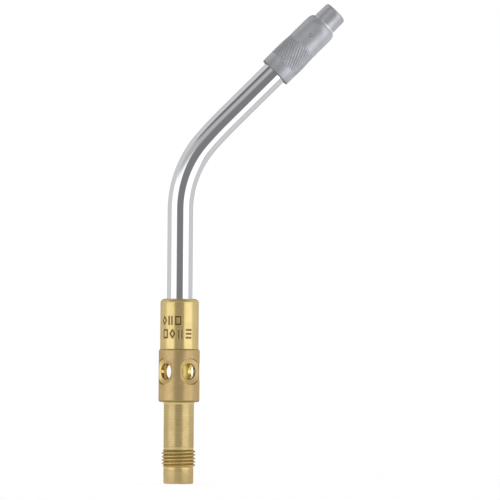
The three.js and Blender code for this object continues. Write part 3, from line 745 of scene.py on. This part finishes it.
class Grid:
    """Collects points and quads, and joins points that coincide when it is finished."""

    def __init__(self):
        self.points = []
        self.grooves = []
        self.faces = []
        self.count = 0

    def add(self, rings, grooves=0.0, flip=False):
        """Adds rings of points with quads between them, turned inside out by `flip`."""
        rings = np.asarray(rings)
        shape = rings.shape[:2]
        self.points.append(rings.reshape(-1, 3))
        self.grooves.append(np.broadcast_to(np.asarray(grooves, dtype=float), shape).ravel())
        for quad in quads(*shape):
            self.faces.append([self.count + k for k in (reversed(quad) if flip else quad)])
        self.count += shape[0] * shape[1]

    def piece(self, name, place=along_z):
        """The finished mesh, with coincident points merged."""
        points = np.vstack(self.points)
        grooves = np.concatenate(self.grooves)
        _, first, inverse = np.unique(
            np.round(points, 4), axis=0, return_index=True, return_inverse=True
        )
        inverse = inverse.ravel()
        faces = []
        for face in self.faces:
            merged = [int(inverse[k]) for k in face]
            distinct = [k for n, k in enumerate(merged) if k != merged[n - 1]]
            if len(distinct) > 2:
                faces.append(tuple(distinct))
        return new_piece(name, place(points[first]), faces, grooves[first])


def mixer_barrel():
    turns = sorted(math.radians(turn - 90) for turn in PORT_TURNS)
    wrapped = [turns[-1] - TAU, *turns, turns[0] + TAU]
    middles = [(before + after) / 2 for before, after in zip(wrapped, wrapped[1:])]
    cells = list(zip(turns, middles, middles[1:]))
    grid = Grid()
    for turn, right, left in cells:
        outer = port_cell(turn, left, right, BARREL_RADIUS, rings=26, sink=True)
        inner = port_cell(turn, left, right, CHAMBER_RADIUS, rings=4, sink=False)
        grid.add(outer, rim_mask(turn, outer), flip=True)
        grid.add(inner, CHAMBER_SHINE)
        steps = np.linspace(0, 1, 9)[:, None, None]
        grid.add(inner[0] + (outer[0] - inner[0]) * steps, DRILLED_SHINE, flip=True)
    quarter = PORT_POINTS // 4
    angles = np.concatenate([np.linspace(right, left, quarter, endpoint=False) for _, right, left in cells])
    lower = filleted([
        (CHAMBER_RADIUS, PORT_HEIGHT - INNER_CELL, 0.0),
        (CHAMBER_RADIUS, CHAMBER_LOW, 0.15),
        (BARREL_BORE, CHAMBER_LOW, 0.15),
        (BARREL_BORE, BARREL_BOTTOM, 0.15),
        (BARREL_RADIUS, BARREL_BOTTOM, 0.85),
        (BARREL_RADIUS, PORT_HEIGHT - OUTER_CELL, 0.0),
    ], closed=False)
    upper = filleted([
        (BARREL_RADIUS, PORT_HEIGHT + OUTER_CELL, 0.0),
        (BARREL_RADIUS, BARREL_SEAM, 0.5),
        (BARREL_SPIGOT, BARREL_SEAM, 0.1),
        (BARREL_SPIGOT, BARREL_SPIGOT_TOP, 0.2),
        (BARREL_BORE, BARREL_SPIGOT_TOP, 0.2),
        (BARREL_BORE, CHAMBER_HIGH, 0.15),
        (CHAMBER_RADIUS, CHAMBER_HIGH, 0.15),
        (CHAMBER_RADIUS, PORT_HEIGHT + INNER_CELL, 0.0),
    ], closed=False)
    for profile in (lower, upper):
        rings = [
            np.stack([r * np.cos(angles), r * np.sin(angles), np.full_like(angles, h)], axis=1)
            for r, h in profile
        ]
        radii, heights = np.array(profile).T
        seam = np.where((radii < BARREL_RADIUS - 0.55) & (heights > BARREL_SEAM - 0.2), 1.0, 0.0)
        # Painted shade on the rounding under the barrel.
        underside_shade = smoothstep(0.8, 0.3, heights - BARREL_BOTTOM) * (radii > STEM_RADIUS + 0.3)
        grid.add(rings, np.maximum(seam, 0.9 * underside_shade)[:, None])
    piece = grid.piece("barrel_with_ports")
    finish_piece(piece, SATIN_BRASS, "torch_body", "satin_brass", "mixer_barrel")


def venturi():
    throat = VENTURI_LOW + 2.8
    piece = revolve("venturi_throat", filleted([
        (VENTURI_RADIUS - 0.35, VENTURI_LOW, 0.1),
        (VENTURI_RADIUS, VENTURI_LOW, 0.15),
        (VENTURI_RADIUS, VENTURI_TOP, 0.2),
        (3.5, VENTURI_TOP, 0.1),
        (VENTURI_THROAT, throat + 0.8, 1.5),
        (VENTURI_THROAT, throat - 0.6, 0.6),
        (2.9, VENTURI_LOW + 1.1, 1.0),
    ]), segments=96)
    finish_piece(piece, JET_BRASS, "torch_body", "bright_brass", "venturi_insert")


# ---- ferrule with generic stamped marks --

MARK_STROKE = 0.3
MARK_DEPTH = 0.16
UPPER_MARKS = 61.3
LOWER_MARKS = 56.3
UPPER_ROW = [(-50, "diamond"), (-27, "bars"), (-3, "square")]
LOWER_ROW = [(-46, "square"), (-20, "diamond"), (4, "bars"), (30, "stack")]


def segment_distance(x, y, start, end):
    """Distance of points from a straight stroke."""
    stroke = np.subtract(end, start)
    along = ((x - start[0]) * stroke[0] + (y - start[1]) * stroke[1]) / np.dot(stroke, stroke)
    along = np.clip(along, 0, 1)
    return np.hypot(x - start[0] - along * stroke[0], y - start[1] - along * stroke[1])


def mark_strokes(kind):
    """Straight strokes of one abstract mark, about 2 mm wide and 3 mm tall."""
    wide, tall = 0.95, 1.45
    if kind == "bars":
        return [((side * 0.6, -tall), (side * 0.6, tall)) for side in (-1, 1)]
    if kind == "stack":
        return [((-wide, step * tall), (wide, step * tall)) for step in (-1, 0, 1)]
    outlines = {
        "diamond": [(0, tall), (wide, 0), (0, -tall), (-wide, 0), (0, tall)],
        "square": [(-wide, tall), (wide, tall), (wide, -tall), (-wide, -tall), (-wide, tall)],
    }
    return list(zip(outlines[kind], outlines[kind][1:]))


def stamped_dent(angles, radii, heights):
    """Sinks the two rows of marks into the ferrule's outer wall."""
    nearest = np.full(np.broadcast(angles, heights).shape, 9.0)
    for row_height, row in ((UPPER_MARKS, UPPER_ROW), (LOWER_MARKS, LOWER_ROW)):
        for turn, kind in row:
            middle = math.radians(turn - 90) % TAU
            x = ((angles - middle + math.pi) % TAU - math.pi) * FERRULE_RADIUS
            for start, end in mark_strokes(kind):
                nearest = np.minimum(nearest, segment_distance(x, heights - row_height, start, end))
    depth = smoothstep(MARK_STROKE + 0.1, MARK_STROKE - 0.08, nearest)
    depth = np.where(radii > FERRULE_RADIUS - 0.01, depth, 0.0)
    return depth * MARK_DEPTH, depth


def neck_ferrule():
    start = filleted([
        (FERRULE_SOCKET, BARREL_SEAM + 0.05, 0.05),
        (FERRULE_RADIUS, BARREL_SEAM + 0.05, 0.12),
        (FERRULE_RADIUS, LOWER_MARKS - 2.2, 0.0),
    ], closed=False)
    marks = rows_between(LOWER_MARKS - 2.1, LOWER_MARKS + 1.9, 0.1, FERRULE_RADIUS)
    marks += rows_between(UPPER_MARKS - 1.9, UPPER_MARKS + 2.1, 0.1, FERRULE_RADIUS)
    end = filleted([
        (FERRULE_RADIUS, UPPER_MARKS + 2.2, 0.0),
        (FERRULE_RADIUS, FERRULE_TOP, FERRULE_FILLET),
        (FERRULE_BORE, FERRULE_TOP, 0.12),
        (FERRULE_BORE, FERRULE_SOCKET_TOP, 0.1),
        (FERRULE_SOCKET, FERRULE_SOCKET_TOP, 0.1),
        (FERRULE_SOCKET, BARREL_SEAM + 0.4, 0.0),
    ], steps=8, closed=False)
    piece = revolve("stamped_ferrule", start + marks + end, segments=480, dent=stamped_dent)
    finish_piece(piece, BRIGHT_BRASS, "torch_body", "bright_brass", "neck_ferrule")


# ---- neck tube ---------------------------

def neck_path():
    """Centre line of the neck in its XZ plane, as points and slants from the vertical, in mm."""
    first = np.linspace(0, FIRST_BEND_ANGLE, 49)
    second = np.linspace(FIRST_BEND_ANGLE, NECK_ANGLE, 17)
    first_x = FIRST_BEND_RADIUS * (1 - np.cos(first))
    first_z = FIRST_BEND_RADIUS * np.sin(first)
    second_x = first_x[-1] + SECOND_BEND_RADIUS * (np.cos(FIRST_BEND_ANGLE) - np.cos(second))
    second_z = first_z[-1] + SECOND_BEND_RADIUS * (np.sin(second) - np.sin(FIRST_BEND_ANGLE))
    corner = NECK_CORNER.z / MM
    bend_start = corner + second_x[-1] / math.tan(NECK_ANGLE) - second_z[-1]
    end = np.array([math.sin(NECK_ANGLE), math.cos(NECK_ANGLE)]) * TUBE_END + [0, corner]
    straight = np.linspace(TUBE_LOW, bend_start, 9)[:-1]
    run = np.linspace(0, 1, 9)[1:]
    bend_end = np.array([second_x[-1], second_z[-1] + bend_start])
    run_x, run_z = bend_end[:, None] + np.outer(end - bend_end, run)
    x = [*np.zeros(len(straight)), *first_x, *second_x[1:], *run_x]
    z = [*straight, *(first_z + bend_start), *(second_z[1:] + bend_start), *run_z]
    slants = [*np.zeros(len(straight)), *first, *second[1:], *np.full(len(run), NECK_ANGLE)]
    return np.array(x), np.array(z), np.array(slants)


def neck_tube():
    x, z, slants = neck_path()
    turns = np.arange(128) * TAU / 128
    edge = 0.15

    def ring(i, radius, shift=0.0):
        out = np.cos(turns) * radius
        return np.stack([
            x[i] + out * math.cos(slants[i]) + shift * math.sin(slants[i]),
            np.sin(turns) * radius,
            z[i] - out * math.sin(slants[i]) + shift * math.cos(slants[i]),
        ], axis=1)

    last = len(x) - 1
    rings = [ring(0, TUBE_BORE + edge), ring(0, TUBE_RADIUS - edge), ring(0, TUBE_RADIUS, edge)]
    rings += [ring(i, TUBE_RADIUS) for i in range(1, last)]
    rings += [ring(last, TUBE_RADIUS, -edge), ring(last, TUBE_RADIUS - edge), ring(last, TUBE_BORE + edge)]
    rings += [ring(last, TUBE_BORE, -edge)]
    rings += [ring(i, TUBE_BORE) for i in range(last - 1, 0, -1)]
    rings += [ring(0, TUBE_BORE, edge), ring(0, TUBE_BORE + edge)]
    grid = Grid()
    grid.add(rings)
    piece = grid.piece("bent_neck_pipe")
    finish_piece(piece, CHROME, "torch_body", "neck_chrome", "neck_tube")


# ---- screw-off tip -----------------------

def nipple_dent(angles, radii, heights):
    """The nipple's fine right-hand thread."""
    on_wall = radii > NIPPLE_RADIUS - 0.02
    inside = on_wall & (heights > NIPPLE_THREAD_LOW) & (heights < NIPPLE_FRONT - 0.5)
    phase = (heights / NIPPLE_PITCH - angles / TAU) % 1.0
    groove = smoothstep(0.15, 0.5, np.abs(phase - 0.5))
    return np.where(inside, groove * 0.3, 0.0), np.where(inside, groove, 0.0)


def tip_nipple():
    base = filleted([
        (NIPPLE_BORE, NIPPLE_REAR, 0.15),
        (NIPPLE_SPIGOT, NIPPLE_REAR, 0.2),
        (NIPPLE_SPIGOT, NIPPLE_SHOULDER, 0.1),
        (NIPPLE_RADIUS, NIPPLE_SHOULDER, 0.3),
        (NIPPLE_RADIUS, NIPPLE_THREAD_LOW - 0.1, 0.0),
    ], closed=False)
    threads = rows_between(NIPPLE_THREAD_LOW - 0.05, NIPPLE_FRONT - 0.45, 0.08, NIPPLE_RADIUS)
    nose = filleted([
        (NIPPLE_RADIUS, NIPPLE_FRONT - 0.4, 0.0),
        (NIPPLE_RADIUS, NIPPLE_FRONT, 0.3),
        (NIPPLE_BORE, NIPPLE_FRONT, 0.15),
        (NIPPLE_BORE, NIPPLE_REAR + 0.4, 0.0),
    ], closed=False)
    piece = revolve("nipple_with_thread", base + threads + nose, along_tip, 128, nipple_dent)
    finish_piece(piece, JET_BRASS, "torch_body", "bright_brass", "tip_nipple")


SIZE_MARK_TURN = math.radians(268)
SIZE_MARK_PLACE = SLEEVE_REAR + 19.3
SIZE_MARK_RADIUS = 0.55
SIZE_MARK_DEPTH = 0.12
CROSS_CUT_SHARE = 0.36


def knurl_dent(angles, radii, heights):
    """Diamond knurling: two crossing sets of V grooves, a small ring-shaped size mark, painted shade at the
    rear edge and a darker inside of the front lip.
    """
    across = angles * KNURL_STARTS / TAU
    along = heights / KNURL_LEAD
    first = np.abs((across + along) % 1.0 - 0.5) * 2
    second = np.abs((across - along) % 1.0 - 0.5) * 2
    groove = np.clip(1.12 * np.maximum(first, CROSS_CUT_SHARE * second) - 0.12, 0, 1)
    band = smoothstep(KNURL_START, KNURL_START + 0.9, heights)
    band = band * smoothstep(KNURL_END, KNURL_END - 1.6, heights)
    outside = (heights >= KNURL_START) & (heights <= KNURL_END) & (radii > SLEEVE_FRONT_RADIUS - 0.01)
    knurl = np.where(outside, groove * band, 0.0)
    x = ((angles - SIZE_MARK_TURN + math.pi) % TAU - math.pi) * SLEEVE_RADIUS
    ring = np.abs(np.hypot(x, heights - SIZE_MARK_PLACE) - SIZE_MARK_RADIUS)
    mark = np.where(radii > SLEEVE_FRONT_RADIUS - 0.05, smoothstep(0.3, 0.1, ring), 0.0)
    # Painted shade on the sleeve's rear edge.
    rear = np.where(radii > SLEEVE_BORE, smoothstep(SLEEVE_REAR + 0.5, SLEEVE_REAR + 0.2, heights), 0.0)
    nose = smoothstep(SLEEVE_NOSE - 0.4, SLEEVE_NOSE - 0.1, heights)
    lip = np.where(radii < SLEEVE_LIP + 0.45, nose, 0.0)
    darkening = np.maximum.reduce([0.45 * knurl, 0.6 * mark, rear, lip])
    return knurl * KNURL_DEPTH + mark * SIZE_MARK_DEPTH, darkening


def knurled_sleeve():
    plain = SLEEVE_FRONT_RADIUS
    rear = filleted([
        (SLEEVE_BORE, SLEEVE_REAR, 0.15),
        (SLEEVE_REAR_RADIUS, SLEEVE_REAR, 0.35),
        (SLEEVE_REAR_RADIUS, KNURL_START - 0.25, 0.0),
    ], closed=False)
    heights = np.linspace(KNURL_START, KNURL_END, 109)
    ramp = smoothstep(KNURL_START, KNURL_START + 0.8, heights)
    fall = smoothstep(KNURL_END, KNURL_START + 4, heights)
    crest = np.minimum(
        SLEEVE_REAR_RADIUS + (SLEEVE_RADIUS - SLEEVE_REAR_RADIUS) * ramp,
        plain + (SLEEVE_RADIUS - plain) * fall,
    )
    band = list(zip(crest, heights))
    marks = rows_between(SIZE_MARK_PLACE - 1.2, SIZE_MARK_PLACE + 1.2, 0.12, plain)
    front = [(plain, SLEEVE_NOSE - SLEEVE_NOSE_LENGTH - 0.1)]
    rise = plain - SLEEVE_LIP - 0.12
    for angle in np.linspace(0, math.pi / 2, 15):
        front.append((
            plain - rise + rise * math.cos(angle),
            SLEEVE_NOSE - SLEEVE_NOSE_LENGTH + SLEEVE_NOSE_LENGTH * math.sin(angle),
        ))
    inside = filleted([
        (SLEEVE_LIP + 0.06, SLEEVE_NOSE - 0.02, 0.0),
        (SLEEVE_LIP, SLEEVE_NOSE - 0.12, 0.0),
        (SLEEVE_LIP, SLEEVE_SEAT, 0.1),
        (SLEEVE_BORE, SLEEVE_SEAT, 0.1),
        (SLEEVE_BORE, SNAP_GROOVE_HIGH, 0.05),
        (SNAP_GROOVE_RADIUS, SNAP_GROOVE_HIGH, 0.05),
        (SNAP_GROOVE_RADIUS, SNAP_GROOVE_LOW, 0.05),
        (SLEEVE_BORE, SNAP_GROOVE_LOW, 0.05),
        (SLEEVE_BORE, SLEEVE_REAR + 0.3, 0.0),
    ], closed=False)
    profile = rear + band + marks + front + inside
    piece = revolve("sleeve_with_knurl", profile, along_tip, 360, knurl_dent)
    finish_piece(piece, MATT_STEEL, "sleeve", "matt_steel", "knurled_sleeve")


def collar_mask(angles, radii, heights):
    """No dent: only marks the narrow cone beside the sleeve, which is worn bright."""
    worn = (radii > FLAME_RADIUS - 0.02) & (heights > SLEEVE_NOSE) & (heights < SLEEVE_NOSE + 0.7)
    shape = np.broadcast(angles, heights).shape
    return np.zeros(shape), np.broadcast_to(np.where(worn, -0.9, 0.0), shape)


def flame_tube():
    collar = FLAME_RADIUS + 0.11
    piece = revolve("flame_tube_with_rim", filleted([
        (FLAME_REAR_BORE, FLAME_REAR, 0.1),
        (FLAME_FLANGE_RADIUS, FLAME_REAR, 0.2),
        (FLAME_FLANGE_RADIUS, FLANGE_FRONT, 0.15),
        (FLAME_RADIUS, FLANGE_FRONT, 0.1),
        (FLAME_RADIUS, SLEEVE_NOSE - 0.5, 0.0),
        (collar, SLEEVE_NOSE - 0.2, 0.05),
        (collar, SLEEVE_NOSE + 0.05, 0.05),
        (FLAME_RADIUS, SLEEVE_NOSE + 0.65, 0.2),
        (FLAME_FRONT_RADIUS, FLAME_FRONT, 1.05),
        (FLAME_BORE - 0.1, FLAME_FRONT, 0.1),
        (FLAME_BORE - 0.1, FLAME_FRONT - 0.3, 0.1),
        (FLAME_BORE, FLAME_FRONT - 0.9, 0.3),
        (FLAME_BORE, ROTOR_REAR - 0.3, 0.1),
        (FLAME_REAR_BORE, ROTOR_REAR - 0.3, 0.1),
    ], steps=8), along_tip, 160, collar_mask)
    finish_piece(piece, FLAME_STEEL, "flame_head", "matt_steel", "flame_tube")


def swirl_rotor():
    """Hub with slanted vanes, rounded where they leave the hub."""
    around = np.linspace(0, TAU, 200, endpoint=False)
    distance = np.abs((around * ROTOR_VANES / TAU) % 1.0 - 0.5) * TAU / ROTOR_VANES
    vane = smoothstep(0.5, 0.36, distance * 2.1)
    radii = ROTOR_HUB + (ROTOR_RADIUS - ROTOR_HUB) * vane
    rings = []
    for part in np.linspace(0, 1, 25):
        angle = around + ROTOR_TWIST * part
        height = np.full_like(around, ROTOR_REAR + (ROTOR_FRONT - ROTOR_REAR) * part)
        rings.append(np.stack([radii * np.cos(angle), radii * np.sin(angle), height], axis=1))
    rings = np.array(rings)
    low = rings[0] * [0, 0, 1]
    high = rings[-1] * [0, 0, 1]
    grid = Grid()
    grid.add([low, *rings, high])
    piece = grid.piece("rotor_with_vanes", along_tip)
    finish_piece(piece, JET_BRASS, "flame_head", "bright_brass", "swirl_rotor")


ON_TIP = {"place": along_tip, "origin": NECK_CORNER, "axis": TIP_AXIS}


def rotor_clip():
    clip = c_clip("rotor_circlip", "rotor_clip", inner=2.95, opening=0.6, **ON_TIP)
    finish_piece(clip, SPRING, "flame_head", "spring_steel", "rotor_clip")


def sleeve_snap_ring():
    ring = c_clip("sleeve_circlip", "sleeve_snap_ring", inner=5.0, opening=0.5, **ON_TIP)
    finish_piece(ring, SPRING, "sleeve", "spring_steel", "sleeve_snap_ring")


def seals_and_braze():
    washer("jet_washer", "jet_seal", COPPER, "copper", inner=1.65)
    washer("stem_braze", "stem_braze_ring", BRAZE, "silver_braze", inner=4.7, crown=0.18)
    washer("ferrule_braze", "ferrule_braze_ring", BRAZE, "silver_braze", inner=5.1, crown=0.18)
    washer("tube_braze", "tube_braze_ring", BRAZE, "silver_braze", inner=4.8, crown=0.18)
    washer("nipple_braze", "nipple_braze_ring", BRAZE, "silver_braze", inner=3.55, crown=0.15, **ON_TIP)
    washer("tip_washer", "seat_washer", COPPER, "copper", inner=2.6, **ON_TIP)


# ---- stage -------------------------------

def camera():
    """A long lens below the object's middle, square to the plane of its bend and rolled a little."""
    width = 188.5 * MM
    lens = 250.0
    sensor = 36.0
    middle = Vector((26.36, 0, 88.15)) * MM
    distance = width / 2 / (sensor / 2 / lens)
    height = 33.0 * MM
    data = bpy.data.cameras.new("camera")
    data.lens = lens
    data.sensor_width = sensor
    data.clip_end = 20.0
    eye = Vector((middle.x, -math.sqrt(distance**2 - (middle.z - height) ** 2), height))
    camera_object = bpy.data.objects.new("camera", data)
    lean = Matrix.Rotation(math.radians(0.4), 4, "Z")
    camera_object.matrix_world = (
        Matrix.Translation(eye) @ (middle - eye).to_track_quat("-Z", "Y").to_matrix().to_4x4() @ lean
    )
    bpy.context.scene.collection.objects.link(camera_object)
    bpy.context.scene.camera = camera_object


def floor():
    """A small white disc that fades out, so that only the contact shadow shows."""
    radius = 0.22
    rings = [
        [(r * math.cos(a), r * math.sin(a), 0) for a in np.arange(96) * TAU / 96]
        for r in np.linspace(0.002, radius, 24)
    ]
    grid = Grid()
    grid.add(np.array(rings) / MM, flip=True)
    disc = grid.piece("floor")
    nodes = Material("floor_paper")
    shader = nodes.shader
    shader.inputs["Base Color"].default_value = (0.85, 0.85, 0.86, 1)
    shader.inputs["Roughness"].default_value = 0.9
    shader.inputs["Emission Color"].default_value = (1, 1, 1, 1)
    seen = nodes.add("ShaderNodeLightPath").outputs["Is Camera Ray"]
    nodes.set(shader.inputs["Emission Strength"], nodes.spread(seen, 0.0, 1.0, 0.34, 0.64))
    place = nodes.add("ShaderNodeTexCoord").outputs["Object"]
    length = nodes.add("ShaderNodeVectorMath", {0: place}, operation="LENGTH").outputs["Value"]
    nodes.set(shader.inputs["Alpha"], nodes.spread(length, 0.03, radius, 1.0, 0.0))
    disc.data.materials.append(nodes.material)


def world():
    """
    Soft studio surroundings: white panels to the left and right, a darker gap between them
    behind the camera, a grey ceiling, and a pale back with a narrow dark gap. Seen directly,
    they are plain white.
    """
    surroundings = bpy.data.worlds.new("studio")
    bpy.context.scene.world = surroundings
    surroundings.use_nodes = True
    nodes = Nodes(surroundings.node_tree)
    nodes.tree.nodes.clear()

    def step(value, low, high):
        """0 below the angle `low` and 1 above `high`, both in degrees, with a soft edge."""
        edges = {"Value": value, "From Min": math.radians(low), "From Max": math.radians(high)}
        return nodes.add("ShaderNodeMapRange", edges, interpolation_type="SMOOTHSTEP").outputs["Result"]

    def blend(factor, first, second):
        return nodes.add("ShaderNodeMix", {0: factor, 2: first, 3: second}, data_type="FLOAT").outputs[0]

    def background(colour):
        return nodes.add("ShaderNodeBackground", {"Color": colour, "Strength": 1.0}).outputs[0]

    direction = nodes.add("ShaderNodeTexCoord").outputs["Generated"]
    x, y, z = nodes.add("ShaderNodeSeparateXYZ", {0: direction}).outputs
    turn = nodes.math("ABSOLUTE", nodes.math("ARCTAN2", x, nodes.math("MULTIPLY", y, -1.0)))
    rise = nodes.math("ARCSINE", z)

    gap, left_panel, right_panel, ceiling, grey_top = 0.2, 1.12, 1.22, 0.16, 0.46
    low_line, back, rear_gap = 0.3, 0.6, 0.18
    panel = blend(nodes.math("GREATER_THAN", x, 0.0), left_panel, right_panel)
    light = blend(step(turn, 26, 33), gap, panel)
    light = blend(step(rise, 14, 26), light, grey_top)
    light = blend(step(rise, 36, 44), light, ceiling)
    low_side = nodes.math("MULTIPLY", step(turn, 74, 79), step(nodes.math("MULTIPLY", rise, -1.0), 22, 30))
    light = blend(low_side, light, low_line)
    light = blend(step(turn, 78, 90), light, back)
    light = blend(step(turn, 158, 166), light, rear_gap)
    shares = {"Red": 1.0, "Green": 1.0, "Blue": 1.02}
    channels = {channel: nodes.math("MULTIPLY", light, share) for channel, share in shares.items()}
    colour = nodes.add("ShaderNodeCombineColor", channels).outputs[0]
    seen = nodes.add("ShaderNodeLightPath").outputs["Is Camera Ray"]
    choice = {0: seen, 1: background(colour), 2: background((1.0, 1.0, 1.0, 1.0))}
    shown = nodes.add("ShaderNodeMixShader", choice).outputs[0]
    nodes.add("ShaderNodeOutputWorld", {"Surface": shown})


camera()
inlet_stem()
filter_clip()
inlet_filter()
gas_jet()
mixer_barrel()
venturi()
neck_ferrule()
neck_tube()
tip_nipple()
knurled_sleeve()
flame_tube()
swirl_rotor()
rotor_clip()
sleeve_snap_ring()
seals_and_braze()
floor()
world()
bpy.context.scene.view_settings.view_transform = "Standard"
